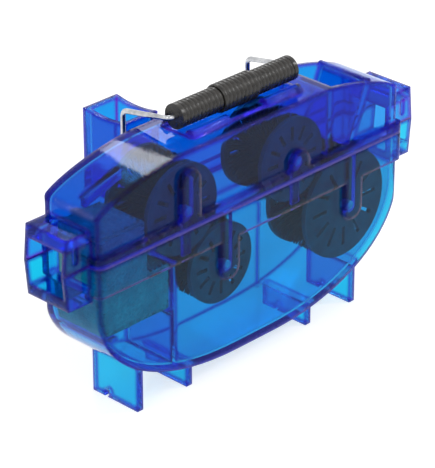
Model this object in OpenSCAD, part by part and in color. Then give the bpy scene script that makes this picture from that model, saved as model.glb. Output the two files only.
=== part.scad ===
// Bicycle chain cleaner: two clear shells close round a chain, with two
// sponges, four brush rollers and a wire bail whose grip clamps the cover.
// X runs along the chain, the front faces -Y, and the feet stand on Z = 0.

/* [Shells] */
// Depth of the thick band round the joint, front to back
band_dep = 29; // [28:0.5:32]
// Wall of both shells
wall_t = 2; // [1.6:0.1:2.2]
// Depth of the sump under the largest brush
sump_depth = 11.6; // [8:0.2:14]
// Room between the upper entry brush and the roof
roof_gap = 3.5; // [3.2:0.1:7]
// Room between the lower exit brush and the tank's end
tank_end_gap = 2.3; // [2:0.1:6]
// Height of the cover's end walls above its mouths
end_rise = 3.8; // [2:0.1:5]
// Length of the tank's flat bottom
belly_flat = 16.6; // [12:0.2:24]
// Roundness of the belly's curve
belly_power_share = 2.1; // [2:0.05:2.6]
// Roundness of the roof's shoulders
crown_power_share = 1.48; // [1.3:0.02:1.8]
// Depth below the joint at which the tank's ends start to curve in
bow_drop = 17.4; // [14:0.2:20]
// Length of the roof's flat top
roof_flat = 62.4; // [56:0.2:66]
// Height of that band below the joint
band_down = 10.1; // [8:0.1:12]
// Height of the cover's lip above the joint
lip_h = 3.7; // [2.5:0.1:5]
// How far the tank's faces stand back from the band
tank_step = 1.5; // [1:0.1:1.7]
// How far the cover's faces stand back from the band
cover_step = 2; // [1.8:0.1:2.2]
// Radius of the shells' upright corners
corner_r = 3; // [2:0.5:4]

/* [Chain mouths] */
// How far each mouth stands out from the band
mouth_out = 10; // [8:0.5:14]
// Outer width of a mouth
mouth_w = 18.8; // [17:0.2:20]
// Side wall of a mouth
mouth_wall = 1.6; // [1.2:0.1:2]
// Height of a mouth's box above the joint
mouth_up = 12.4; // [11:0.2:13]
// Depth of a mouth's box below the joint
mouth_down = 12.7; // [10.5:0.1:14]
// Height of the chain passage above the joint
passage_up = 7.8; // [6:0.2:9]
// Depth of the chain passage below the joint
passage_down = 8.7; // [6:0.2:9]
// Slant of a mouth's end face
mouth_draft = 1.2; // [0.5:0.1:2]
// Width of the oval dimple in a mouth's front
dimple_w = 2; // [1.4:0.1:2.6]

/* [Legs] */
// Height of the legs under the flat bottom
leg_h = 6.7; // [5:0.1:9]
// Thickness of a leg plate
leg_t = 2.6; // [2:0.2:3.4]
// Width of a leg plate, front to back
leg_w = 21; // [14:0.5:22]
// Distance between the two inner legs
leg_inner_gap = 58.2; // [50:0.2:62]
// Distance between the two outer legs
leg_outer_gap = 103.6; // [98:0.2:108]
// Diameter of the round notch in a leg's foot
notch_d = 2.4; // [1.6:0.2:3]

/* [Brush rollers] */
// Diameter of the axle pins
pin_d = 3.6; // [3:0.1:4]
// Running gap between a pin and its bearing, on the radius
pin_fit = 0.06; // [0.03:0.01:0.09]
// Height of the upper axles above the joint
upper_rise = 5.8; // [5.4:0.1:6]
// Depth of the lower axles below the joint
lower_drop = 20.4; // [20:0.1:21]
// Space along the chain between the two upper brushes
upper_gap = 21; // [18:0.2:26]
// Radius of the upper entry brush
entry_upper_r = 15.8; // [14:0.2:16]
// Radius of the lower entry brush
entry_lower_r = 14.4; // [13:0.2:15]
// Radius of the upper exit brush
exit_upper_r = 14.8; // [13:0.2:15]
// Radius of the lower exit brush
exit_lower_r = 19.8; // [17:0.2:20]
// Gap between the two entry brushes
entry_gap = 1.5; // [1:0.1:3]
// Gap between the two exit brushes
exit_gap = 2.9; // [2:0.1:4.5]
// Length of the slot in which the upper entry axle floats
float_slot = 11; // [6:0.5:12]
// Thickness of the cover's tabs inside the tank
tab_t = 1; // [0.8:0.1:1.2]
// Thickness of a brush disc
disc_t = 1.6; // [1.2:0.1:2]
// Number of radial windows in a brush disc
disc_windows = 12; // [6:1:14]
// Width of a radial window
window_w = 1.5; // [1:0.1:2]
// Diameter of a roller's core
core_d = 6; // [5.2:0.2:6.4]
// Rows of bristles along a roller
bristle_rows = 5; // [3:1:6]
// Bristles in each row
row_bristles = 18; // [10:1:20]
// Radius of a bristle tuft
tuft_r = 0.4; // [0.3:0.05:0.5]

/* [Sponges] */
// Length of the sponges along the chain
sponge_len = 20.9; // [15:0.1:24]
// Height of the sponge in the tank
sponge_depth = 27; // [20:0.5:30]
// Height of the sponge in the cover
sponge_rise = 8; // [6:0.5:9]
// Distance of the dividing wall before the upper entry brush's middle
divider_back = 6.8; // [5:0.1:8]
// Thickness of the wall between sponge and brushes
divider_t = 1.8; // [1.2:0.1:2.4]
// Thickness of the upright rib on the tank's rear wall
rib_t = 0.8; // [0.6:0.1:1]

/* [Filling hopper] */
// Gap between the upper exit brush and the hopper
hopper_gap = 1.6; // [1:0.1:5]
// Gap between the lower exit brush and the hopper's neck
neck_gap = 2.1; // [1:0.1:4]
// Width of the hopper's opening in the roof
hopper_w = 19.2; // [15:0.2:20]
// Width of the hopper's neck
neck_w = 8.4; // [7:0.2:12]
// Diameter of the bead on the hopper's far rim
bead_d = 2.8; // [2:0.2:3.2]

/* [Bail and grip] */
// Diameter of the bail wire
wire_d = 1.8; // [1.5:0.1:2]
// Bare wire between the grip and each arm
grip_end_gap = 1.4; // [1:0.1:3]
// How far the grip's middle stands towards the hopper
grip_x = 2.3; // [0:0.1:4]
// Distance of the arms behind the middle of the body
bail_back = 21.4; // [18:0.2:23]
// Height of the grip's axis above the roof
grip_rise = 6; // [5.8:0.1:8]
// Depth of the bail's pivot below the joint
pivot_drop = 10.5; // [10.2:0.1:12]
// Diameter of the grip's two end sleeves
sleeve_d = 8.7; // [8:0.1:9.4]
// Diameter of the grip's middle collar
collar_d = 10; // [9:0.2:11]
// Length of the whole grip
grip_len = 54; // [50:0.5:55]
// Length of the middle collar
collar_len = 16.4; // [14:0.2:18]
// Depth of the grooves between the grip's ribs
groove = 0.45; // [0.2:0.05:0.6]
// Ribs on an end sleeve
sleeve_ribs = 10; // [6:1:12]
// Ribs on the middle collar
collar_ribs = 9; // [6:1:11]

/* [Rear socket] */
// Width of the socket
socket_w = 15.5; // [12:0.5:16]
// Depth of the socket, front to back
socket_dep = 19.6; // [16:0.2:23]
// Height of the socket
socket_h = 29.5; // [24:0.5:29.5]
// Wall of the socket
socket_wall = 2; // [1.5:0.1:2.4]

/* [Hidden] */

$fn = 64;
// Number of straight steps in a quarter of a curved outline
outline_steps = 24;
// Overrun of every cut past the face that it leaves
over = 1;
// Gap between soft pieces and what holds them
soft_gap = 0.3;
// Gap between turning pieces and fixed ones
run_gap = 0.4;
// Gap between pieces that are pushed on to one another
push_gap = 0.02;

// Levels of the shells, which hold the brushes
pin_r = pin_d / 2;
bearing_r = pin_r + pin_fit;
floor_z = leg_h;
lower_z = floor_z + wall_t + sump_depth + exit_lower_r;
joint_z = lower_z + lower_drop;
upper_z = joint_z + upper_rise;
curve_z = joint_z - band_down;
bow_z = joint_z - bow_drop;
roof_z = upper_z + entry_upper_r + roof_gap + wall_t;
end_z = joint_z + mouth_up + end_rise;
axle_fall = upper_z - lower_z;

// Places along the chain, from the sponges to the tank's exit end
entry_reach = entry_upper_r + entry_lower_r + entry_gap;
exit_reach = exit_upper_r + exit_lower_r + exit_gap;
entry_step = sqrt(entry_reach ^ 2 - axle_fall ^ 2);
exit_step = sqrt(exit_reach ^ 2 - axle_fall ^ 2);
sponge_gap = run_gap * 3;
inside_len = sponge_len + sponge_gap + 2 * entry_upper_r + upper_gap
  + exit_upper_r + exit_step + exit_lower_r + tank_end_gap;
shell_in_x = inside_len / 2;
sponge_end_x = sponge_len - shell_in_x;
entry_upper_x = sponge_end_x + sponge_gap + entry_upper_r;
entry_lower_x = entry_upper_x + entry_step;
exit_lower_x = shell_in_x - tank_end_gap - exit_lower_r;
exit_upper_x = exit_lower_x - exit_step;

// Half sizes of the shells
end_step = wall_t * 0.6;
shell_x = shell_in_x + wall_t;
band_x = shell_x + end_step;
band_y = band_dep / 2;
tank_y = band_y - tank_step;
cover_y = band_y - cover_step;
tank_in_y = tank_y - wall_t;
cover_in_y = cover_y - wall_t;
mouth_x = band_x + mouth_out;
crease_x = roof_flat / 2;

// Axles, tabs and discs from front to back
bearing_y = band_y - wall_t + pin_fit;
pin_len = 2 * (bearing_y - pin_fit * 5);
bump_r = bearing_r + wall_t * 1.2;
tab_out_y = tank_in_y - run_gap / 2;
tab_in_y = tab_out_y - tab_t;
disc_out_y = tab_in_y - run_gap;
disc_in_y = disc_out_y - disc_t;
core_len = 2 * (disc_in_y - push_gap);

// Sponge chamber: its divider stands clear of the upper entry brush
divider_x = entry_upper_x - divider_back;
divider_top = curve_z - run_gap;
ledge = wall_t * 0.75;
sponge_low_z = joint_z - sponge_depth - soft_gap;

// Hopper
hopper_x = exit_upper_x + exit_upper_r + hopper_gap;
rim_x = hopper_x + hopper_w;
rim_z = crown_z(rim_x);
neck_x = hopper_x + neck_w;
neck_z = lower_z + exit_lower_r + neck_gap;

// Bail
wire_r = wire_d / 2;
grip_half = grip_len / 2;
arm_x = grip_half + grip_end_gap + wire_r;
grip_z = roof_z + grip_rise;
pivot_z = joint_z - pivot_drop;
collar_half = collar_len / 2;
boss_r = wire_r + wall_t * 1.1;
boss_len = wall_t * 3;
boss_out_x = arm_x - wire_r - run_gap / 2;
boss_in_x = boss_out_x - boss_len;
ear_depth = boss_len * 0.8;

// Cradle on the roof
pad_h = wall_t * 0.4;
ridge_r = wall_t;
ridge_z = roof_z + ridge_r * 0.2;
ridge_y = collar_d * 0.55;
ridge_end = grip_half - ridge_r * 0.75;
pad_half_x = ridge_end + ridge_r * 0.5;
pad_half_y = ridge_y + ridge_r * 0.75;

// Rear socket
socket_out_x = grip_x - (arm_x - wire_r - wire_d * 0.7);
socket_in_x = socket_out_x + socket_w;
socket_y = bail_back + wire_r * 2.2;
socket_base = pivot_z + boss_r + run_gap;

// Quarter of a rounded outline that is a long by b high
function rounded_quarter(a, b, power) = [
  for (i = [0 : outline_steps])
    let (t = 90 * i / outline_steps)
      [a * sin(t) ^ (2 / power), b * cos(t) ^ (2 / power)]
];

// Height of the roof's outer face at a place past its crease
function crown_z(x) =
  let (a = shell_x - crease_x, u = (x - crease_x) / a)
    end_z + (roof_z - end_z) * (1 - u ^ crown_power_share) ^ (1 / crown_power_share);

// Height of the belly's outer face at a place
function belly_z(x) =
  let (u = max(0, abs(x) - belly_flat / 2) / (shell_x - belly_flat / 2))
    bow_z - (bow_z - floor_z) * (1 - u ^ belly_power_share) ^ (1 / belly_power_share);

// Half length of the tank's cavity at a height below the joint
function cavity_x(z) =
  let (v = max(0, bow_z - z) / (bow_z - floor_z - wall_t))
    belly_flat / 2
      + (shell_in_x - belly_flat / 2) * (1 - v ^ belly_power_share) ^ (1 / belly_power_share);

// Outline of the tank, given its half length, its bottom and its top
function belly_outline(half, low, high) =
  let (q = rounded_quarter(half - belly_flat / 2, bow_z - low, belly_power_share))
    concat(
      [for (p = q) [belly_flat / 2 + p.x, bow_z - p.y]],
      [[half, high], [-half, high]],
      [for (i = [outline_steps : -1 : 0]) [-belly_flat / 2 - q[i].x, bow_z - q[i].y]]
    );

// Outline of the cover, given its half length, its bottom and its roof
function crown_outline(half, low, high) =
  let (q = rounded_quarter(half - crease_x, high - end_z, crown_power_share))
    concat(
      [for (i = [0 : outline_steps]) [-crease_x - q[i].x, end_z + q[i].y]],
      [[-half, low], [half, low]],
      [for (i = [outline_steps : -1 : 0]) [crease_x + q[i].x, end_z + q[i].y]]
    );

// A slab with the given side outline, centred front to back
module side_slab(outline, depth) {
  rotate([90, 0, 0])
    linear_extrude(depth, center = true)
      polygon(outline);
}

// A block between two levels with rounded upright corners
module corner_block(half_x, half_y, low, high, r) {
  translate([0, 0, low])
    linear_extrude(high - low) {
      square([2 * half_x, 2 * (half_y - r)], center = true);
      square([2 * (half_x - r), 2 * half_y], center = true);
      for (x = [-1, 1], y = [-1, 1])
        translate([x * (half_x - r), y * (half_y - r)])
          circle(r);
    }
}

// A block given by its lowest and its highest corner
module block(low, high) {
  translate(low)
    cube(high - low);
}

// A round bar from front to back
module cross_bar(x, z, r, length) {
  translate([x, 0, z])
    rotate([90, 0, 0])
      cylinder(h = length, r = r, center = true);
}

// A round bar along X between two places
module long_bar(from_x, to_x, y, z, r) {
  translate([from_x, y, z])
    rotate([0, 90, 0])
      cylinder(h = to_x - from_x, r = r);
}

// A round rod between two points
module rod(a, b, r) {
  d = b - a;
  translate(a)
    rotate([0, acos(d.z / norm(d)), atan2(d.y, d.x)])
      cylinder(h = norm(d), r = r);
}

// One chain mouth's half box: side is 1 at the exit and -1 at the entry
module mouth_box(side, height) {
  slant_x = mouth_x - mouth_draft * abs(height) / max(mouth_up, mouth_down);
  side_slab(
    [
      [side * shell_in_x, joint_z],
      [side * mouth_x, joint_z],
      [side * slant_x, joint_z + height],
      [side * shell_in_x, joint_z + height]
    ],
    mouth_w
  );
}

// The chain's way through both mouths, on one side of the joint
module mouth_passage(low, high) {
  for (side = [-1, 1])
    block(
      [side > 0 ? shell_in_x - over : -mouth_x - over, mouth_wall - mouth_w / 2, low],
      [side > 0 ? mouth_x + over : over - shell_in_x, mouth_w / 2 - mouth_wall, high]
    );
}

// A plate leg under the belly, with a round notch in its foot
module leg(x) {
  half_w = leg_w / 2;
  difference() {
    block(
      [x - leg_t / 2, -half_w, 0],
      [x + leg_t / 2, half_w, belly_z(x) + wall_t / 2]
    );
    translate([x - leg_t, half_w * 0.4, notch_d * 0.55])
      rotate([0, 90, 0])
        cylinder(h = 2 * leg_t, d = notch_d);
    block(
      [x - leg_t, half_w * 0.4 - notch_d / 4, -over],
      [x + leg_t, half_w * 0.4 + notch_d / 4, notch_d * 0.55]
    );
  }
}

// The bearing of one end of the bail, on the band's rear face
module bail_ear(side) {
  low_x = grip_x + (side > 0 ? boss_in_x : -boss_out_x);
  high_x = grip_x + (side > 0 ? boss_out_x : -boss_in_x);
  long_bar(low_x, high_x, bail_back, pivot_z, boss_r);
  block([low_x, tank_in_y + wall_t / 2, pivot_z - boss_r], [high_x, bail_back, pivot_z + boss_r]);
}

// Lower shell: tank, band, legs, bearings and the bail's ears
module lower_tank() {
  color("dodgerblue", 0.6) {
    difference() {
      union() {
        intersection() {
          side_slab(belly_outline(shell_x, floor_z, joint_z), 2 * tank_y);
          corner_block(shell_x, tank_y, floor_z - over, joint_z + over, corner_r - end_step);
        }
        corner_block(band_x, band_y, curve_z, joint_z, corner_r);
        for (side = [-1, 1]) {
          mouth_box(side, -mouth_down);
          bail_ear(side);
          leg(side * leg_inner_gap / 2);
          leg(side * leg_outer_gap / 2);
        }
        for (x = [entry_lower_x, exit_lower_x]) {
          cross_bar(x, lower_z, bump_r, 2 * band_y);
          block([x - bump_r, -band_y, lower_z], [x + bump_r, band_y, curve_z]);
        }
      }
      side_slab(belly_outline(shell_in_x, floor_z + wall_t, joint_z + over), 2 * tank_in_y);
      mouth_passage(joint_z - passage_down, joint_z + over);
      for (x = [entry_lower_x, exit_lower_x]) {
        cross_bar(x, lower_z, bearing_r, 2 * bearing_y);
        block([x - bearing_r, -bearing_y, lower_z], [x + bearing_r, bearing_y, joint_z + over]);
      }
      for (side = [-1, 1])
        long_bar(
          grip_x + (side > 0 ? boss_out_x - ear_depth : -boss_out_x - over),
          grip_x + (side > 0 ? boss_out_x + over : ear_depth - boss_out_x),
          bail_back, pivot_z, wire_r + pin_fit
        );
    }
    divider_plate();
    sponge_ledges();
    wall_rib();
  }
}

// Wall in the tank between the sponge and the brushes
module divider_plate() {
  block(
    [divider_x, -tank_in_y - over / 2, belly_z(divider_x) + wall_t / 2],
    [divider_x + divider_t, tank_in_y + over / 2, divider_top]
  );
}

// Upright rib inside the tank's rear wall, beside the lower exit brush
module wall_rib() {
  x = exit_lower_x - exit_lower_r - wall_t;
  block(
    [x - rib_t / 2, tank_in_y - rib_t, floor_z + wall_t / 2],
    [x + rib_t / 2, tank_in_y + wall_t / 2, curve_z]
  );
}

// Two bars that carry the tank's sponge
module sponge_ledges() {
  low_z = sponge_low_z - soft_gap - ledge;
  end_x = cavity_x(low_z);
  block(
    [divider_x - ledge, -tank_in_y - over / 2, low_z],
    [divider_x + divider_t / 2, tank_in_y + over / 2, low_z + ledge]
  );
  block(
    [-end_x - wall_t / 2, -tank_in_y - over / 2, low_z],
    [-end_x + 2 * ledge, tank_in_y + over / 2, low_z + ledge]
  );
}

// Outside of the upper shell, still solid
module cover_shell() {
  intersection() {
    side_slab(crown_outline(shell_x, joint_z, roof_z), 2 * cover_y);
    corner_block(shell_x, cover_y, joint_z - over, roof_z + over, corner_r - end_step);
  }
  corner_block(band_x, band_y, joint_z, joint_z + lip_h, corner_r);
  for (side = [-1, 1])
    mouth_box(side, mouth_up);
  slot_bump(entry_upper_x, upper_z + float_slot);
  slot_bump(exit_upper_x, upper_z);
}

// Raised pocket on both faces for an upper axle, up to a given height
module slot_bump(x, high) {
  cross_bar(x, high, bump_r, 2 * band_y);
  block([x - bump_r, -band_y, joint_z], [x + bump_r, band_y, high]);
}

// Tabs that reach from the cover down inside the tank
module tank_tabs() {
  for (x = [entry_upper_x, exit_upper_x], side = [-1, 1])
    block(
      [x - pin_r, side > 0 ? tab_in_y : -tab_out_y, curve_z],
      [x + pin_r, side > 0 ? tab_out_y : -tab_in_y, upper_z - pin_d]
    );
}

// Oval dimple in the front of a mouth's upper half
module dimple(side) {
  x = side * (mouth_x - mouth_out / 2);
  low_z = joint_z + mouth_up * 0.3;
  high_z = joint_z + mouth_up * 0.64;
  translate([0, -mouth_w / 2, 0]) {
    cross_bar(x, low_z, dimple_w / 2, mouth_wall);
    cross_bar(x, high_z, dimple_w / 2, mouth_wall);
    block([x - dimple_w / 2, -mouth_wall / 2, low_z], [x + dimple_w / 2, mouth_wall / 2, high_z]);
  }
}

// The hopper's two cross walls
module hopper_walls() {
  block(
    [hopper_x, -cover_in_y - over / 2, neck_z],
    [hopper_x + wall_t, cover_in_y + over / 2, crown_z(hopper_x + wall_t) - wall_t / 2]
  );
  side_slab(
    [
      [neck_x + wall_t, neck_z],
      [neck_x + 2 * wall_t, neck_z],
      [rim_x + wall_t, rim_z - wall_t],
      [rim_x + wall_t / 2, rim_z],
      [rim_x, rim_z]
    ],
    2 * cover_in_y + over
  );
  cross_bar(rim_x + wall_t / 2, rim_z - bead_d / 4, bead_d / 2, 2 * cover_y - corner_r);
}

// Rib under the roof's slope that steadies the upper sponge
module slope_rib() {
  low_x = shell_in_x - wall_t * 2;
  high_x = -sponge_end_x + wall_t / 2;
  drop = wall_t * 2.5;
  side_slab(
    [
      [-low_x, crown_z(low_x) - wall_t / 2],
      [-low_x, crown_z(low_x) - drop],
      [-high_x, crown_z(high_x) - drop],
      [-high_x, crown_z(high_x) - wall_t / 2]
    ],
    wall_t
  );
}

// Pad and ridges on the roof, between which the grip snaps down
module cradle() {
  gap_half = collar_half + ridge_r * 0.2;
  block(
    [grip_x - pad_half_x, -pad_half_y, roof_z - wall_t / 2],
    [grip_x + pad_half_x, pad_half_y, roof_z + pad_h]
  );
  for (y = [-ridge_y, ridge_y]) {
    long_bar(grip_x - ridge_end, grip_x - gap_half, y, ridge_z, ridge_r);
    long_bar(grip_x + gap_half, grip_x + ridge_end, y, ridge_z, ridge_r);
  }
}

// Upper shell: roof, lip, hopper, slots and the grip's cradle
module top_cover() {
  color("royalblue", 0.6) {
    difference() {
      union() {
        difference() {
          cover_shell();
          side_slab(crown_outline(shell_in_x, joint_z - over, roof_z - wall_t), 2 * cover_in_y);
        }
        hopper_walls();
        cradle();
        slope_rib();
      }
      mouth_passage(joint_z - over, joint_z + passage_up);
      for (side = [-1, 1])
        dimple(side);
      side_slab(
        [
          [hopper_x + wall_t, roof_z + over],
          [hopper_x + wall_t, rim_z - 2 * wall_t],
          [rim_x - wall_t * 1.4, rim_z - 2 * wall_t],
          [rim_x, rim_z],
          [rim_x, roof_z + over]
        ],
        2 * cover_in_y
      );
      cross_bar(entry_upper_x, upper_z, bearing_r, 2 * bearing_y);
      cross_bar(entry_upper_x, upper_z + float_slot, bearing_r, 2 * bearing_y);
      block(
        [entry_upper_x - bearing_r, -bearing_y, upper_z],
        [entry_upper_x + bearing_r, bearing_y, upper_z + float_slot]
      );
      cross_bar(exit_upper_x, upper_z, bearing_r, 2 * bearing_y);
    }
    tank_tabs();
  }
}

// Socket behind the tank for a handle or a hanger, open at the top
module rear_socket() {
  high_z = socket_base + socket_h;
  dip_r = socket_dep * 2;
  color("royalblue", 0.6)
    difference() {
      union() {
        block([socket_out_x, socket_y, socket_base], [socket_in_x, socket_y + socket_dep, high_z]);
        block([socket_out_x, band_y, socket_base], [socket_in_x, socket_y + over, joint_z]);
      }
      block(
        [socket_out_x + socket_wall, socket_y + socket_wall, socket_base + socket_wall],
        [socket_in_x - socket_wall, socket_y + socket_dep - socket_wall, high_z + over]
      );
      long_bar(
        socket_out_x - over, socket_in_x + over,
        socket_y + socket_dep / 2, high_z - socket_wall / 2 + dip_r, dip_r
      );
    }
}

// Sponges
module lower_sponge() {
  half_y = tank_in_y - soft_gap;
  left_x = -cavity_x(joint_z) + soft_gap;
  high_z = joint_z - soft_gap;
  low_x = -cavity_x(sponge_low_z) + soft_gap;
  mid_z = (sponge_low_z + bow_z) / 2;
  right_x = divider_x - soft_gap;
  color("darkseagreen")
    side_slab(
      [
        [right_x, sponge_low_z],
        [low_x, sponge_low_z],
        [-cavity_x(mid_z) + 2 * soft_gap, mid_z],
        [left_x, bow_z],
        [left_x, high_z],
        [sponge_end_x, high_z],
        [sponge_end_x, divider_top],
        [right_x, divider_top]
      ],
      2 * half_y
    );
}

module upper_sponge() {
  low_z = joint_z + soft_gap;
  high_z = low_z + sponge_rise;
  color("darkseagreen")
    block(
      [soft_gap - shell_in_x, soft_gap - cover_in_y, low_z],
      [sponge_end_x, cover_in_y - soft_gap, high_z]
    );
}

// Bail: one wire from ear to ear, through the grip
module bail_wire() {
  end_x = boss_out_x - ear_depth + run_gap;
  color("silver")
    translate([grip_x, 0, 0]) {
      long_bar(-arm_x, arm_x, 0, grip_z, wire_r);
      for (side = [-1, 1]) {
        rod([side * arm_x, 0, grip_z], [side * arm_x, bail_back, grip_z], wire_r);
        rod([side * arm_x, bail_back, pivot_z], [side * arm_x, bail_back, grip_z], wire_r);
        long_bar(side > 0 ? end_x : -arm_x, side > 0 ? arm_x : -end_x, bail_back, pivot_z, wire_r);
        for (corner = [[0, grip_z], [bail_back, grip_z], [bail_back, pivot_z]])
          translate([side * arm_x, corner.x, corner.y])
            sphere(wire_r);
      }
    }
}

// A ribbed sleeve on the wire from one place to another
module ribbed_sleeve(from_x, to_x, d, ribs) {
  r = d / 2;
  length = to_x - from_x;
  pitch = length / ribs;
  land = pitch * 0.6;
  bore_r = wire_r + push_gap;
  translate([grip_x + from_x, 0, grip_z])
    rotate([0, 90, 0])
      rotate_extrude()
        polygon(concat(
          [[bore_r, length], [bore_r, 0]],
          [for (i = [0 : ribs - 1], p = [
            [r - groove, i * pitch],
            [r, i * pitch + (pitch - land) / 2],
            [r, (i + 1) * pitch - (pitch - land) / 2],
            [r - groove, (i + 1) * pitch - push_gap]
          ]) p],
          [[r - groove, length]]
        ));
}

module grip_left_sleeve() {
  color("dimgray")
    ribbed_sleeve(-grip_half, -collar_half - push_gap, sleeve_d, sleeve_ribs);
}

module grip_collar() {
  color("dimgray")
    ribbed_sleeve(-collar_half, collar_half, collar_d, collar_ribs);
}

module grip_right_sleeve() {
  color("dimgray")
    ribbed_sleeve(collar_half + push_gap, grip_half, sleeve_d, sleeve_ribs);
}

// Brush roller: axle, core, two discs and the bristles, each placed by its axle
module axle(x, z) {
  color("lightsteelblue")
    cross_bar(x, z, pin_r, pin_len);
}

module core(x, z) {
  color("darkslategray")
    difference() {
      cross_bar(x, z, core_d / 2, core_len);
      cross_bar(x, z, bearing_r, core_len + over);
    }
}

module disc(x, z, r, side) {
  mid_y = side * (disc_out_y + disc_in_y) / 2;
  window_in = r * 0.45;
  window_out = r * 0.8;
  color("darkslategray")
    translate([0, mid_y, 0])
      difference() {
        cross_bar(x, z, r, disc_t);
        cross_bar(x, z, bearing_r, disc_t + over);
        for (i = [0 : disc_windows - 1])
          translate([x, 0, z])
            rotate([0, 360 * i / disc_windows, 0])
              block([window_in, -disc_t, -window_w / 2], [window_out, disc_t, window_w / 2]);
      }
}

module bristles(x, z, r) {
  sleeve_in = core_d / 2 + push_gap;
  sleeve_out = sleeve_in + wall_t * 0.4;
  root = sleeve_in + tuft_r / 2;
  row_pitch = (core_len - 4 * tuft_r) / bristle_rows;
  color("dimgray")
    translate([x, 0, z])
      rotate([90, 0, 0]) {
        difference() {
          cylinder(h = core_len - 2 * tuft_r, r = sleeve_out, center = true);
          cylinder(h = core_len + over, r = sleeve_in, center = true);
        }
        for (row = [0 : bristle_rows - 1], i = [0 : row_bristles - 1])
          rotate([0, 0, 360 * (i + (row % 2) / 2) / row_bristles])
            translate([root, 0, (row + 0.5 - bristle_rows / 2) * row_pitch])
              rotate([0, 90, 0])
                cylinder(h = r - root, r = tuft_r, $fn = 4);
      }
}

lower_tank();
top_cover();
rear_socket();
lower_sponge();
upper_sponge();
bail_wire();
grip_left_sleeve();
grip_collar();
grip_right_sleeve();
axle(entry_upper_x, upper_z);  // entry_upper_axle
core(entry_upper_x, upper_z);  // entry_upper_core
disc(entry_upper_x, upper_z, entry_upper_r, -1);  // entry_upper_front_disc
disc(entry_upper_x, upper_z, entry_upper_r, 1);  // entry_upper_rear_disc
bristles(entry_upper_x, upper_z, entry_upper_r);  // entry_upper_bristles
axle(entry_lower_x, lower_z);  // entry_lower_axle
core(entry_lower_x, lower_z);  // entry_lower_core
disc(entry_lower_x, lower_z, entry_lower_r, -1);  // entry_lower_front_disc
disc(entry_lower_x, lower_z, entry_lower_r, 1);  // entry_lower_rear_disc
bristles(entry_lower_x, lower_z, entry_lower_r);  // entry_lower_bristles
axle(exit_upper_x, upper_z);  // exit_upper_axle
core(exit_upper_x, upper_z);  // exit_upper_core
disc(exit_upper_x, upper_z, exit_upper_r, -1);  // exit_upper_front_disc
disc(exit_upper_x, upper_z, exit_upper_r, 1);  // exit_upper_rear_disc
bristles(exit_upper_x, upper_z, exit_upper_r);  // exit_upper_bristles
axle(exit_lower_x, lower_z);  // exit_lower_axle
core(exit_lower_x, lower_z);  // exit_lower_core
disc(exit_lower_x, lower_z, exit_lower_r, -1);  // exit_lower_front_disc
disc(exit_lower_x, lower_z, exit_lower_r, 1);  // exit_lower_rear_disc
bristles(exit_lower_x, lower_z, exit_lower_r);  // exit_lower_bristles
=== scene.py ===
import math
from functools import partial

import bmesh
import bpy
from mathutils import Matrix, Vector, noise


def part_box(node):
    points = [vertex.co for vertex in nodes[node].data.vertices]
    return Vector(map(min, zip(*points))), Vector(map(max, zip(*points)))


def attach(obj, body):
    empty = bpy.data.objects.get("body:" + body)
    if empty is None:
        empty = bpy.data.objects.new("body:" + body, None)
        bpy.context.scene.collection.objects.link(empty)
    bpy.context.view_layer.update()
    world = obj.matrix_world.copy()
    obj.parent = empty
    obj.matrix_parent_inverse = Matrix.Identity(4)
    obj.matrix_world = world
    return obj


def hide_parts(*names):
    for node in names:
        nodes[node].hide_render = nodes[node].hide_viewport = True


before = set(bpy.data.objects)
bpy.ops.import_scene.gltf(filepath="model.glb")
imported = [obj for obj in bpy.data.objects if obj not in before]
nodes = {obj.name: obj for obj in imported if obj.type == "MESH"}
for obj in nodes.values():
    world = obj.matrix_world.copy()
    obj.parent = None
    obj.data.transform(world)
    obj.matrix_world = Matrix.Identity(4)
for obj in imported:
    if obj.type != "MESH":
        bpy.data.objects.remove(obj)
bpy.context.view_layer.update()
scene = bpy.context.scene


# Helpers for pieces and nodes

def addObject(name, data):
    piece = bpy.data.objects.new(name, data)
    scene.collection.objects.link(piece)
    return piece


def plainMesh(name, carrier):  # a mesh piece in place of the carrier that shapes it
    depsgraph = bpy.context.evaluated_depsgraph_get()
    mesh = bpy.data.meshes.new_from_object(carrier.evaluated_get(depsgraph))
    mesh.name = name
    carrier.modifiers.clear()
    bpy.data.objects.remove(carrier)
    return addObject(name, mesh)


def meshOf(name, bm):
    mesh = bpy.data.meshes.new(name)
    bm.to_mesh(mesh)
    bm.free()
    return addObject(name, mesh)


def mid(node):
    low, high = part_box(node)
    return (Vector(low) + Vector(high)) / 2


def facing(direction):
    return direction.to_track_quat("-Z", "Y").to_euler()


def wear(node, material):  # a CAD node keeps its shape and gets a finish
    for slot in nodes[node].material_slots:
        slot.link = "OBJECT"
        slot.material = material


def feed(tree, value, socket):  # a socket takes another node's output or a plain value
    if isinstance(value, bpy.types.NodeSocket):
        tree.links.new(value, socket)
    else:
        socket.default_value = value


def addNode(tree, kind, **inputs):  # an input's name has _ where the socket's has a space
    node = tree.nodes.new(kind)
    for label, value in inputs.items():
        feed(tree, value, node.inputs[label.replace("_", " ")])
    return node


def maths(tree, operation, a, b=0.0, clamp=False):
    node = tree.nodes.new("ShaderNodeMath")
    node.operation = operation
    node.use_clamp = clamp
    feed(tree, a, node.inputs[0])
    feed(tree, b, node.inputs[1])
    return node.outputs[0]


def vectorMaths(tree, operation, a, b):
    node = tree.nodes.new("ShaderNodeVectorMath")
    node.operation = operation
    feed(tree, a, node.inputs[0])
    feed(tree, b, node.inputs["Scale" if operation == "SCALE" else 1])
    return node.outputs["Value" if operation == "DOT_PRODUCT" else "Vector"]


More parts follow.
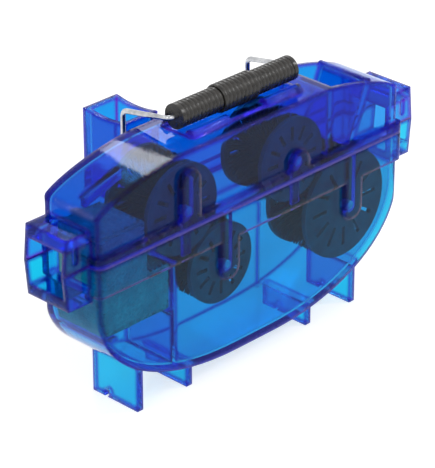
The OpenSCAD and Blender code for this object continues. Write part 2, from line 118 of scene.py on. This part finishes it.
def newTree(treeKind, name, inputs, outputs):  # an empty node group and its two ends
    tree = bpy.data.node_groups.new(name, treeKind)
    for label, kind, *value in inputs:
        socket = tree.interface.new_socket(label, in_out="INPUT", socket_type="NodeSocket" + kind)
        if value:
            socket.default_value = value[0]
    for label, kind in outputs:
        tree.interface.new_socket(label, in_out="OUTPUT", socket_type="NodeSocket" + kind)
    return tree, tree.nodes.new("NodeGroupInput"), tree.nodes.new("NodeGroupOutput")


# Shader groups that several finishes share

shared = {"bevelRays": 6, "cloudLow": 0.35, "cloudHigh": 0.65}


def makeEdgeShade():  # 1 on rounded-off edges, 0 on flats, from the bevelled normal
    group, gin, gout = newTree(
        "ShaderNodeTree", "edgeShade",
        (("Radius", "Float"), ("Gain", "Float")),
        (("Mask", "Float"), ("Normal", "Vector")),
    )
    bevel = addNode(group, "ShaderNodeBevel", Radius=gin.outputs["Radius"])
    bevel.samples = shared["bevelRays"]
    face = group.nodes.new("ShaderNodeNewGeometry")
    level = vectorMaths(group, "DOT_PRODUCT", bevel.outputs[0], face.outputs["True Normal"])
    drop = maths(group, "SUBTRACT", 1.0, level)
    mask = maths(group, "MULTIPLY", drop, gin.outputs["Gain"], clamp=True)
    feed(group, mask, gout.inputs["Mask"])
    feed(group, bevel.outputs[0], gout.inputs["Normal"])
    return group


def makeCloud():  # soft cloudy mask and its height, for colour and bump
    group, gin, gout = newTree(
        "ShaderNodeTree", "cloud",
        (("Scale", "Float"), ("Detail", "Float"),
         ("Low", "Float", shared["cloudLow"]), ("High", "Float", shared["cloudHigh"])),
        (("Mask", "Float"), ("Height", "Float")),
    )
    coord = group.nodes.new("ShaderNodeTexCoord")
    wave = addNode(group, "ShaderNodeTexNoise", Vector=coord.outputs["Object"],
                   Scale=gin.outputs["Scale"], Detail=gin.outputs["Detail"])
    spread = addNode(group, "ShaderNodeMapRange", Value=wave.outputs["Fac"],
                     From_Min=gin.outputs["Low"], From_Max=gin.outputs["High"])
    feed(group, spread.outputs["Result"], gout.inputs["Mask"])
    feed(group, wave.outputs["Fac"], gout.inputs["Height"])
    return group


edgeShade = makeEdgeShade()
cloud = makeCloud()


# Helpers for finishes

def emptyMaterial(name):
    mat = bpy.data.materials.new(name)
    mat.use_nodes = True
    mat.node_tree.nodes.clear()
    return mat, mat.node_tree, mat.node_tree.nodes.new("ShaderNodeOutputMaterial")


def newMaterial(name, **inputs):
    mat, tree, out = emptyMaterial(name)
    shader = addNode(tree, "ShaderNodeBsdfPrincipled", **inputs)
    feed(tree, shader.outputs[0], out.inputs["Surface"])
    return mat, tree, shader


def placeGroup(tree, group, **inputs):
    node = tree.nodes.new("ShaderNodeGroup")
    node.node_tree = group
    for label, value in inputs.items():
        feed(tree, value, node.inputs[label])
    return node.outputs


def mixColour(tree, share, low, high):
    mix = tree.nodes.new("ShaderNodeMix")
    mix.data_type = "RGBA"
    for place, value in ((0, share), (6, low), (7, high)):  # 6 and 7 are its two colours
        feed(tree, value, mix.inputs[place])
    return mix.outputs[2]


def scaled(colour, share):
    return tuple(min(1, c * share) for c in colour[:3]) + (1,)


def roughen(tree, shader, mask, low, high):  # roughness from low to high with the mask
    spread = addNode(tree, "ShaderNodeMapRange", Value=mask, To_Min=low, To_Max=high)
    feed(tree, spread.outputs["Result"], shader.inputs["Roughness"])


def bumped(tree, shader, height, strength, distance, normal=None):
    bump = addNode(tree, "ShaderNodeBump", Height=height, Strength=strength, Distance=distance)
    if normal is not None:
        feed(tree, normal, bump.inputs["Normal"])
    feed(tree, bump.outputs[0], shader.inputs["Normal"])


# Clear blue plastic of the tank, the cover and the socket

shellFinish = {
    # each shell's wall colour, and the dark indigo painted on its rounded-off edges as painted
    # shade
    "tank": {"wall": (0.012, 0.57, 0.75, 1), "thick": (0.045, 0.020, 0.42, 1)},
    "cover": {"wall": (0.018, 0.32, 0.72, 1), "thick": (0.12, 0.014, 0.46, 1)},
    "surface": {
        "IOR": 1.20,
        "Specular Tint": (0.66, 0.70, 1.0, 1),
        "Transmission Weight": 1.0,
        "Coat Weight": 0.10,
        "Coat Roughness": 0.03,
        # full emission strength, for the painted glow of the rims
        "Emission Strength": 1.0,
    },
    "dye": {"Color": (0.22, 0.16, 0.82, 1), "Density": 90.0},
    "edges": {"Radius": 0.0024, "Gain": 14.0},
    "flow": {"Scale": 38.0, "Detail": 2.0, "Low": 0.3, "High": 0.7},
    "relief": (0.25, 0.0004),  # strength and height
    "roughness": (0.01, 0.05),
    "paler": 1.12,
    # painted glow: the dark violet the plastic gives off on late bounces, and after how many
    # bounces it starts
    "paintedGlow": (0.030, 0.010, 0.150, 1),
    "glowAfterBounces": 4.5,  # surfaces that the light has met
}
noGlow = (0, 0, 0, 1)


def makeClear(name, wall, thick):
    mat, tree, shader = newMaterial(name, **shellFinish["surface"])
    edges = placeGroup(tree, edgeShade, **shellFinish["edges"])
    flow = placeGroup(tree, cloud, **shellFinish["flow"])
    body = mixColour(tree, flow["Mask"], wall, scaled(wall, shellFinish["paler"]))
    # painted shade: the colour turns dark indigo on rounded-off edges, where light running along
    # the wall looks darker
    feed(tree, mixColour(tree, edges["Mask"], body, thick), shader.inputs["Base Color"])
    roughen(tree, shader, flow["Mask"], *shellFinish["roughness"])
    # painted glow: once a ray has bounced more than a set number of times, the plastic gives off
    # a dark violet light of its own, standing in for light trapped in the plastic's rims
    path = tree.nodes.new("ShaderNodeLightPath")
    late = maths(tree, "GREATER_THAN", path.outputs["Ray Depth"], shellFinish["glowAfterBounces"])
    glow = mixColour(tree, late, noGlow, shellFinish["paintedGlow"])
    feed(tree, glow, shader.inputs["Emission Color"])
    # the dye darkens light that travels along a wall instead of across it
    dye = addNode(tree, "ShaderNodeVolumeAbsorption", **shellFinish["dye"])
    feed(tree, dye.outputs[0], tree.nodes["Material Output"].inputs["Volume"])
    bumped(tree, shader, flow["Height"], *shellFinish["relief"], edges["Normal"])
    return mat


clearTank = makeClear("clearTankBlue", **shellFinish["tank"])
clearCover = makeClear("clearCoverBlue", **shellFinish["cover"])
wear("lower_tank", clearTank)
wear("top_cover", clearCover)
wear("rear_socket", clearCover)
print("shells finished")


# Brush rollers

brush = {
    "plastic": {
        "dark": (0.075, 0.080, 0.090, 1), "light": (0.130, 0.138, 0.152, 1), "roughness": 0.5,
    },
    "bristle": {
        "dark": (0.010, 0.010, 0.012, 1), "light": (0.035, 0.036, 0.040, 1), "roughness": 0.45,
        "scale": 900.0,
    },
    "axle": {
        "dark": (0.42, 0.50, 0.62, 1), "light": (0.62, 0.70, 0.80, 1), "roughness": 0.3,
    },
    "rings": 11,
    "around": 44,
    "strandRadius": 0.00022,
    "lean": 0.03,
    "turnShake": 0.12,
    "rowShake": 0.0002,
    "rowShare": 0.94,
    "sides": 5,
    "firstSeed": 3,
}

# finish of every opaque moulded piece
moulded = {
    "edges": {"Radius": 0.0003, "Gain": 4.0},
    "detail": 4.0,
    "relief": 0.5,
    # how much lighter than the body's light colour the rounded-off edges are
    "edgePaler": 1.7,
    "roughSpread": 0.08,
}


def makeMoulded(name, dark, light, roughness, scale=260.0, bump=0.0001, gloss=0.25):
    mat, tree, shader = newMaterial(name, Specular_IOR_Level=gloss)
    grain = placeGroup(tree, cloud, Scale=scale, Detail=moulded["detail"])
    edges = placeGroup(tree, edgeShade, **moulded["edges"])
    body = mixColour(tree, grain["Mask"], dark, light)
    # rounded-off edges are lighter than the body
    paleEdged = mixColour(tree, edges["Mask"], body, scaled(light, moulded["edgePaler"]))
    feed(tree, paleEdged, shader.inputs["Base Color"])
    spread = moulded["roughSpread"]
    roughen(tree, shader, grain["Mask"], roughness - spread, roughness + spread)
    bumped(tree, shader, grain["Height"], moulded["relief"], bump, edges["Normal"])
    return mat


brushPlastic = makeMoulded("brushPlastic", **brush["plastic"])
bristleNylon = makeMoulded("bristleNylon", **brush["bristle"])
axlePlastic = makeMoulded("axlePlastic", **brush["axle"])


def newShapeTree(name, wanted):  # named inputs for sizes and a finish, one shape out
    return newTree("GeometryNodeTree", name, wanted, [("Geometry", "Geometry")])


def endTree(tree, shape, gin, gout):  # every tree ends in real meshes and their material
    real = addNode(tree, "GeometryNodeRealizeInstances", Geometry=shape)
    finish = addNode(tree, "GeometryNodeSetMaterial", Geometry=real.outputs[0],
                     Material=gin.outputs["Finish"])
    feed(tree, finish.outputs[0], gout.inputs["Geometry"])
    return tree


def makeBristleTree():  # strands round a core along Y, from the core out to the disc's rim
    tree, gin, gout = newShapeTree("bristleRings", (
        ("Rings", "Int"), ("Around", "Int"), ("Inner", "Float"), ("Outer", "Float"),
        ("Length", "Float"), ("Strand", "Float"), ("Lean", "Float"), ("Seed", "Int"),
        ("Middle", "Vector"), ("Finish", "Material"),
    ))
    calc, given = partial(maths, tree), gin.outputs
    count = calc("MULTIPLY", given["Rings"], given["Around"])
    line = addNode(tree, "GeometryNodeMeshLine", Count=count)
    index = tree.nodes.new("GeometryNodeInputIndex").outputs[0]
    ring = calc("FLOOR", calc("DIVIDE", calc("ADD", index, 0.5), given["Around"]))
    place = calc("SUBTRACT", index, calc("MULTIPLY", ring, given["Around"]))
    jitter = tree.nodes.new("FunctionNodeRandomValue")
    jitter.data_type = "FLOAT_VECTOR"
    feed(tree, (-1, -1, -1), jitter.inputs[0])
    feed(tree, (1, 1, 1), jitter.inputs[1])
    feed(tree, given["Seed"], jitter.inputs["Seed"])
    shakes = addNode(tree, "ShaderNodeSeparateXYZ", Vector=jitter.outputs[0]).outputs
    # where a strand stands: its angle in the ring, and its ring's place along the core
    half = calc("MULTIPLY", calc("FLOORED_MODULO", ring, 2.0), 0.5)
    shake = calc("MULTIPLY", shakes[0], brush["turnShake"])
    share = calc("DIVIDE", calc("ADD", calc("ADD", place, half), shake), given["Around"])
    angle = calc("MULTIPLY", share, math.tau)
    step = calc("DIVIDE", calc("ADD", ring, 0.5), given["Rings"])
    alongY = calc("MULTIPLY", calc("SUBTRACT", step, 0.5), given["Length"])
    shaken = calc("ADD", alongY, calc("MULTIPLY", shakes[1], brush["rowShake"]))
    direction = addNode(tree, "ShaderNodeCombineXYZ", X=calc("COSINE", angle),
                        Y=calc("MULTIPLY", shakes[2], given["Lean"]),
                        Z=calc("SINE", angle)).outputs[0]
    reach = calc("SUBTRACT", given["Outer"], given["Inner"])
    outward = calc("ADD", given["Inner"], calc("MULTIPLY", reach, 0.5))
    centre = vectorMaths(tree, "SCALE", direction, outward)
    lift = addNode(tree, "ShaderNodeCombineXYZ", Y=shaken).outputs[0]
    raised = vectorMaths(tree, "ADD", centre, lift)
    moved = vectorMaths(tree, "ADD", raised, given["Middle"])
    put = addNode(tree, "GeometryNodeSetPosition", Geometry=line.outputs[0], Position=moved)
    # one strand, turned outwards at each of those points
    depth = calc("SUBTRACT", reach, calc("MULTIPLY", given["Strand"], 2.0))
    strand = addNode(tree, "GeometryNodeMeshCylinder", Vertices=brush["sides"],
                     Radius=given["Strand"], Depth=depth)
    turn = addNode(tree, "FunctionNodeAlignRotationToVector", Vector=direction)
    turn.axis = "Z"
    spread = addNode(tree, "GeometryNodeInstanceOnPoints", Points=put.outputs[0],
                     Instance=strand.outputs["Mesh"], Rotation=turn.outputs[0])
    return endTree(tree, spread.outputs[0], gin, gout)


def runTree(name, tree, values):  # a plain mesh from a Geometry Nodes tree
    carrier = addObject(name + "Carrier", bpy.data.meshes.new(name + "Carrier"))
    modifier = carrier.modifiers.new("shape", "NODES")
    modifier.node_group = tree
    for item in tree.interface.items_tree:
        if item.item_type == "SOCKET" and item.in_out == "INPUT":
            modifier[item.identifier] = values[item.name]
    return plainMesh(name, carrier)


bristleTree = makeBristleTree()
for seed, roller in enumerate(("entry_upper", "entry_lower", "exit_upper", "exit_lower")):
    for part in ("core", "front_disc", "rear_disc"):
        wear(f"{roller}_{part}", brushPlastic)
    wear(f"{roller}_axle", axlePlastic)
    low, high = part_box(f"{roller}_bristles")
    coreLow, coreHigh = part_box(f"{roller}_core")
    strands = runTree(f"{roller}_strands", bristleTree, {
        "Rings": brush["rings"], "Around": brush["around"],
        "Inner": (coreHigh[0] - coreLow[0]) / 2, "Outer": (high[0] - low[0]) / 2,
        "Length": (high[1] - low[1]) * brush["rowShare"], "Strand": brush["strandRadius"],
        "Lean": brush["lean"], "Seed": seed + brush["firstSeed"],
        "Middle": tuple(mid(f"{roller}_bristles")), "Finish": bristleNylon,
    })
    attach(strands, f"{roller}_roller")
    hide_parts(f"{roller}_bristles")
print("rollers finished")


# Sponges

sponge = {
    "dark": (0.26, 0.38, 0.34, 1),
    "light": (0.52, 0.66, 0.54, 1),
    "roughness": 0.9,
    "patches": {"Scale": 160.0, "Detail": 5.0},
    "poreScale": 900.0,
    "relief": (0.9, 0.0004),  # strength and height
    "round": 0.0007,
    "roundSteps": 2,
    "pit": 0.00025,
    "pitScale": 620,
    "facet": 0.0011,
    "splits": 3,
    "sameFace": 0.00001,  # points this near the front count as on it
}


def makeFoam():
    mat, tree, shader = newMaterial("openFoam", Roughness=sponge["roughness"])
    coord = tree.nodes.new("ShaderNodeTexCoord")
    pores = addNode(tree, "ShaderNodeTexVoronoi", Vector=coord.outputs["Object"],
                    Scale=sponge["poreScale"])
    coarse = placeGroup(tree, cloud, **sponge["patches"])
    body = mixColour(tree, coarse["Mask"], sponge["dark"], sponge["light"])
    # painted shade: the foam turns dark in spots, for the shade inside its pores
    poreShaded = mixColour(tree, pores.outputs["Distance"], sponge["dark"], body)
    feed(tree, poreShaded, shader.inputs["Base Color"])
    bumped(tree, shader, pores.outputs["Distance"], *sponge["relief"])
    return mat


foam = makeFoam()


def makeSponge(name, node, body, corners):
    bm = bmesh.new()
    low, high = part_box(node)
    front = [bm.verts.new((x, low[1], z)) for x, z in corners]
    back = [bm.verts.new((x, high[1], z)) for x, z in corners]
    bm.faces.new(front)
    bm.faces.new(back[::-1])
    for i in range(len(corners)):
        j = (i + 1) % len(corners)
        bm.faces.new((front[i], back[i], back[j], front[j]))
    bmesh.ops.recalc_face_normals(bm, faces=bm.faces)
    bmesh.ops.bevel(bm, geom=list(bm.edges), offset=sponge["round"],
                    segments=sponge["roundSteps"], affect="EDGES")
    bmesh.ops.triangulate(bm, faces=bm.faces)
    for _ in range(sponge["splits"]):
        longEdges = [e for e in bm.edges if e.calc_length() > sponge["facet"]]
        bmesh.ops.subdivide_edges(bm, edges=longEdges, cuts=1)
        bmesh.ops.triangulate(bm, faces=bm.faces)
    bm.normal_update()
    for v in bm.verts:
        depth = (0.5 + 0.5 * noise.noise(v.co * sponge["pitScale"])) * sponge["pit"]
        v.co -= v.normal * depth
    piece = meshOf(name, bm)
    piece.data.shade_smooth()
    piece.data.materials.append(foam)
    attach(piece, body)
    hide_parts(node)


def outlineOf(node):  # corner points of a slab's front, in order round their middle
    spots = [v.co for v in nodes[node].data.vertices]
    front = min(co.y for co in spots) + sponge["sameFace"]
    points = {(round(co.x, 6), round(co.z, 6)) for co in spots if co.y < front}
    cx = sum(p[0] for p in points) / len(points)
    cz = sum(p[1] for p in points) / len(points)
    return sorted(points, key=lambda p: math.atan2(p[1] - cz, p[0] - cx))


makeSponge("upper_foam", "upper_sponge", "cover", outlineOf("upper_sponge"))
makeSponge("lower_foam", "lower_sponge", "tank", outlineOf("lower_sponge"))
print("sponges finished")


# Wire bail

wire = {
    "colour": ((0.40, 0.41, 0.43, 1), (0.62, 0.63, 0.65, 1)),
    "roughness": (0.14, 0.26),
    "streaks": {"Scale": 420.0, "Detail": 4.0},
    "relief": (0.3, 0.00003),  # strength and height
    "radius": 0.0009,
    "bend": 0.0022,
    "steps": 8,
    "sides": 20,
    "fall": 0.0039,
    "hook": 0.0055,
}


def makeChrome():
    mat, tree, shader = newMaterial("platedWire", Metallic=1.0)
    streak = placeGroup(tree, cloud, **wire["streaks"])
    feed(tree, mixColour(tree, streak["Mask"], *wire["colour"]), shader.inputs["Base Color"])
    roughen(tree, shader, streak["Mask"], *wire["roughness"])
    bumped(tree, shader, streak["Height"], *wire["relief"])
    return mat


plated = makeChrome()


def roundCorners(points, radius, steps):
    path = [points[0]]
    for before, corner, after in zip(points, points[1:], points[2:]):
        a, b = (before - corner).normalized(), (after - corner).normalized()
        start, end = corner + a * radius, corner + b * radius
        for i in range(steps + 1):
            t = i / steps
            path.append(start * (1 - t) ** 2 + corner * 2 * t * (1 - t) + end * t ** 2)
    path.append(points[-1])
    return path


def sweepTube(name, path, radius, sides):
    curve = bpy.data.curves.new(name + "Path", "CURVE")
    curve.dimensions = "3D"
    curve.bevel_depth = radius
    curve.bevel_resolution = sides // 4
    curve.use_fill_caps = True
    spline = curve.splines.new("POLY")
    spline.points.add(len(path) - 1)
    for point, place in zip(spline.points, path):
        point.co = (*place, 1)
    return plainMesh(name, addObject(name + "Path", curve))


wireLow, wireHigh = (Vector(c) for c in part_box("bail_wire"))
inset = Vector((wire["radius"],) * 3)
wireLow, wireHigh = wireLow + inset, wireHigh - inset
leftX, rightX, backY = wireLow.x, wireHigh.x, wireHigh.y
bendZ = wireHigh.z - wire["fall"]
leftArm = [(leftX + wire["hook"], backY, wireLow.z), (leftX, backY, wireLow.z),
           (leftX, backY, bendZ), (leftX, 0, wireHigh.z)]
rightArm = [(rightX, 0, wireHigh.z), (rightX, backY, bendZ),
            (rightX, backY, wireLow.z), (rightX - wire["hook"], backY, wireLow.z)]
bailPath = roundCorners([Vector(p) for p in leftArm + rightArm], wire["bend"], wire["steps"])
bail = sweepTube("bail_spring_wire", bailPath, wire["radius"], wire["sides"])
bail.data.shade_smooth()
bail.data.materials.append(plated)
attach(bail, "bail")
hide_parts("bail_wire")
print("bail finished")


# Ribbed grip

grip = {
    "rubber": {
        "dark": (0.009, 0.008, 0.007, 1), "light": (0.030, 0.027, 0.024, 1), "roughness": 0.30,
        "scale": 700.0, "bump": 0.00004, "gloss": 0.5,
    },
    "sleeveRibs": 11,
    "collarRibs": 9,
    "groove": 0.00042,
    "plain": 0.09,
    "crest": 0.45,
    "sharpAngle": 32,
    "sides": 72,
    "perRib": 12,
}


def makeRibTree():  # a ribbed sleeve along X
    tree, gin, gout = newShapeTree("ribbedSleeve", (
        ("From", "Vector"), ("To", "Vector"), ("Radius", "Float"), ("Groove", "Float"),
        ("Ribs", "Int"), ("Steps", "Int"), ("Sides", "Int"), ("Plain Start", "Float"),
        ("Plain End", "Float"), ("Finish", "Material"),
    ))
    calc, given = partial(maths, tree), gin.outputs
    line = addNode(tree, "GeometryNodeCurvePrimitiveLine", Start=given["From"], End=given["To"])
    count = calc("ADD", calc("MULTIPLY", given["Ribs"], given["Steps"]), 1.0)
    fine = addNode(tree, "GeometryNodeResampleCurve", Curve=line.outputs[0], Count=count)
    along = tree.nodes.new("GeometryNodeSplineParameter").outputs["Factor"]
    phase = calc("MULTIPLY", calc("MULTIPLY", along, given["Ribs"]), math.pi)
    wave = calc("ABSOLUTE", calc("SINE", phase))
    atStart = calc("LESS_THAN", along, given["Plain Start"])
    atEnd = calc("GREATER_THAN", along, calc("SUBTRACT", 1.0, given["Plain End"]))
    crest = calc("MAXIMUM", calc("POWER", wave, grip["crest"]), calc("MAXIMUM", atStart, atEnd))
    fall = calc("MULTIPLY", calc("SUBTRACT", 1.0, crest), given["Groove"])
    swell = addNode(tree, "GeometryNodeSetCurveRadius", Curve=fine.outputs[0],
                    Radius=calc("SUBTRACT", given["Radius"], fall))
    ring = addNode(tree, "GeometryNodeCurvePrimitiveCircle", Resolution=given["Sides"],
                   Radius=1.0)
    reach = tree.nodes.new("GeometryNodeInputRadius")
    skin = addNode(tree, "GeometryNodeCurveToMesh", Curve=swell.outputs[0],
                   Profile_Curve=ring.outputs[0], Scale=reach.outputs[0], Fill_Caps=True)
    return endTree(tree, skin.outputs[0], gin, gout)


gripRubber = makeMoulded("gripRubber", **grip["rubber"])
ribTree = makeRibTree()
sleeves = (
    ("left_sleeve", "grip_left_sleeve", grip["sleeveRibs"], (grip["plain"], 0.0)),
    ("middle_collar", "grip_collar", grip["collarRibs"], (0.0, 0.0)),
    ("right_sleeve", "grip_right_sleeve", grip["sleeveRibs"], (0.0, grip["plain"])),
)
for name, node, ribs, plain in sleeves:
    low, high = (Vector(c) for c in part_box(node))
    centre = (low + high) / 2
    sleeve = runTree(name, ribTree, {
        "From": (low.x, centre.y, centre.z), "To": (high.x, centre.y, centre.z),
        "Radius": (high.z - low.z) / 2, "Groove": grip["groove"], "Ribs": ribs,
        "Steps": grip["perRib"], "Sides": grip["sides"], "Finish": gripRubber,
        "Plain Start": plain[0], "Plain End": plain[1],
    })
    sleeve.data.shade_smooth()
    sleeve.data.set_sharp_from_angle(angle=math.radians(grip["sharpAngle"]))
    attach(sleeve, "bail")
    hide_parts(node)
print("grip finished")


# Camera, floor and light

view = {
    "azimuth": -45.758,
    "elevation": 27.413,
    "place": (-0.574268, -0.554486, 0.456138),
    "lens": 206.745,
    "sensor": 36,
    "clipStart": 0.01,
}
lamps = (  # name, place, aim, size, power
    ("keyBox", (-0.35, -0.75, 0.85), (0, 0, 0.05), (0.6, 0.5), 2.2),
    ("edgeStrip", (0.75, -0.60, 0.79), (0, 0, 0.07), (0.06, 0.34), 2.6),
    ("slopeBox", (0.52, 0.72, 0.86), (0, 0, 0.08), (0.22, 0.22), 1.4),
    ("roofBox", (0.72, 0.72, 0.66), (0, 0, 0.08), (0.16, 0.20), 0.3),
    ("endStrip", (-0.60, 0.72, 0.82), (0, 0, 0.08), (0.20, 0.06), 1.2),
    ("fillBox", (-0.9, -0.1, 0.7), (0, 0, 0.05), (0.4, 0.3), 1.5),
)
stage = {
    "floorColour": (0.72, 0.72, 0.72, 1),
    "floorGlow": 0.64,
    "floorReach": 3.0,
    "floorLevel": -0.00002,
    "worldLight": 0.42,
}
white = (1, 1, 1, 1)


def makeCamera():
    az, el = math.radians(view["azimuth"]), math.radians(view["elevation"])
    ahead = Vector((-math.sin(az) * math.cos(el), math.cos(az) * math.cos(el), -math.sin(el)))
    lens = bpy.data.cameras.new("photoCamera")
    lens.lens = view["lens"]
    lens.sensor_width = view["sensor"]
    lens.clip_start = view["clipStart"]
    camera = addObject("photoCamera", lens)
    camera.location = view["place"]
    camera.rotation_euler = facing(ahead)
    scene.camera = camera


def seenDirectly(tree):  # 1 for camera, mirror and see-through rays
    path = tree.nodes.new("ShaderNodeLightPath").outputs
    first = maths(tree, "ADD", path["Is Camera Ray"], path["Is Glossy Ray"])
    return maths(tree, "ADD", first, path["Is Transmission Ray"], clamp=True)


def makeFloor():
    bm = bmesh.new()
    bmesh.ops.create_grid(bm, x_segments=1, y_segments=1, size=stage["floorReach"])
    for v in bm.verts:
        v.co.z = stage["floorLevel"]
    floor = meshOf("floor", bm)
    mat, tree, out = emptyMaterial("paleFloor")
    matt = addNode(tree, "ShaderNodeBsdfDiffuse", Color=stage["floorColour"])
    strength = maths(tree, "MULTIPLY", seenDirectly(tree), stage["floorGlow"])
    glow = addNode(tree, "ShaderNodeEmission", Color=white, Strength=strength)
    total = tree.nodes.new("ShaderNodeAddShader")
    feed(tree, matt.outputs[0], total.inputs[0])
    feed(tree, glow.outputs[0], total.inputs[1])
    feed(tree, total.outputs[0], out.inputs["Surface"])
    floor.data.materials.append(mat)


def makeWorld():
    world = bpy.data.worlds.new("studio")
    world.use_nodes = True
    tree = world.node_tree
    level = addNode(tree, "ShaderNodeMapRange", Value=seenDirectly(tree),
                    To_Min=stage["worldLight"], To_Max=1.0)
    back = tree.nodes["Background"]
    feed(tree, white, back.inputs["Color"])
    feed(tree, level.outputs["Result"], back.inputs["Strength"])
    scene.world = world


def addSoftbox(name, place, aim, size, power):
    lamp = bpy.data.lights.new(name, "AREA")
    lamp.shape = "RECTANGLE"
    lamp.size, lamp.size_y = size
    lamp.energy = power
    box = addObject(name, lamp)
    box.location = place
    box.rotation_euler = facing(Vector(aim) - Vector(place))


makeCamera()
makeFloor()
makeWorld()
for lamp in lamps:
    addSoftbox(*lamp)
scene.view_settings.view_transform = "Standard"
print("stage finished")
